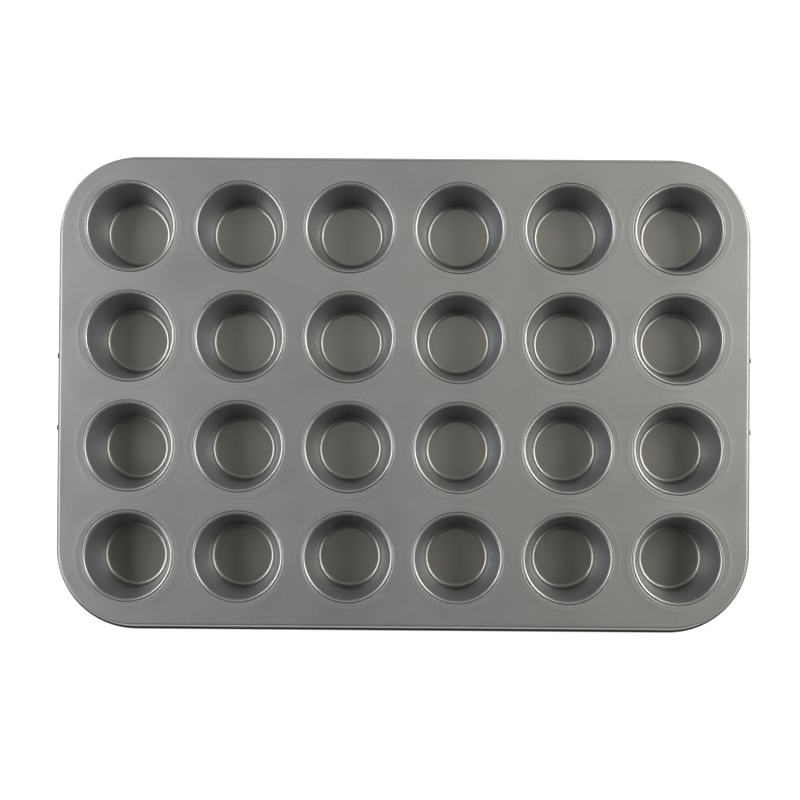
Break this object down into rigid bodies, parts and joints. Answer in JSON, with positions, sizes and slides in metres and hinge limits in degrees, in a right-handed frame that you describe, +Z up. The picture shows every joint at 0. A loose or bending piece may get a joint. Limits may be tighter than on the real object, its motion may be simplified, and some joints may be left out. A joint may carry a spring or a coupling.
{
  "type": "muffin tin",
  "caption": "Wide non-stick muffin tin: round tapered cups locked into a flat rounded-corner sheet with a rolled, wired rim.",
  "frame": {"origin": "bottom centre of the tin, on the plane that the cups' undersides stand on", "axes": "+X along the long side with six cups, +Y along the short side with four cups, away from the front row, +Z up out of the cups"},
  "size_m": [0.5206, 0.356, 0.036],
  "materials": {
    "sheet_coating": "satin",
    "cup_coating": "satin",
    "wire_steel": "satin"
  },
  "bodies": {
    "root": {"top_sheet": "sheet_coating", "rim_wire": "wire_steel", "cup_r1_c1": "cup_coating", "cup_r1_c2": "cup_coating", "cup_r1_c3": "cup_coating", "cup_r1_c4": "cup_coating", "cup_r1_c5": "cup_coating", "cup_r1_c6": "cup_coating", "cup_r2_c1": "cup_coating", "cup_r2_c2": "cup_coating", "cup_r2_c3": "cup_coating", "cup_r2_c4": "cup_coating", "cup_r2_c5": "cup_coating", "cup_r2_c6": "cup_coating", "cup_r3_c1": "cup_coating", "cup_r3_c2": "cup_coating", "cup_r3_c3": "cup_coating", "cup_r3_c4": "cup_coating", "cup_r3_c5": "cup_coating", "cup_r3_c6": "cup_coating", "cup_r4_c1": "cup_coating", "cup_r4_c2": "cup_coating", "cup_r4_c3": "cup_coating", "cup_r4_c4": "cup_coating", "cup_r4_c5": "cup_coating", "cup_r4_c6": "cup_coating"}
  },
  "joints": []
}
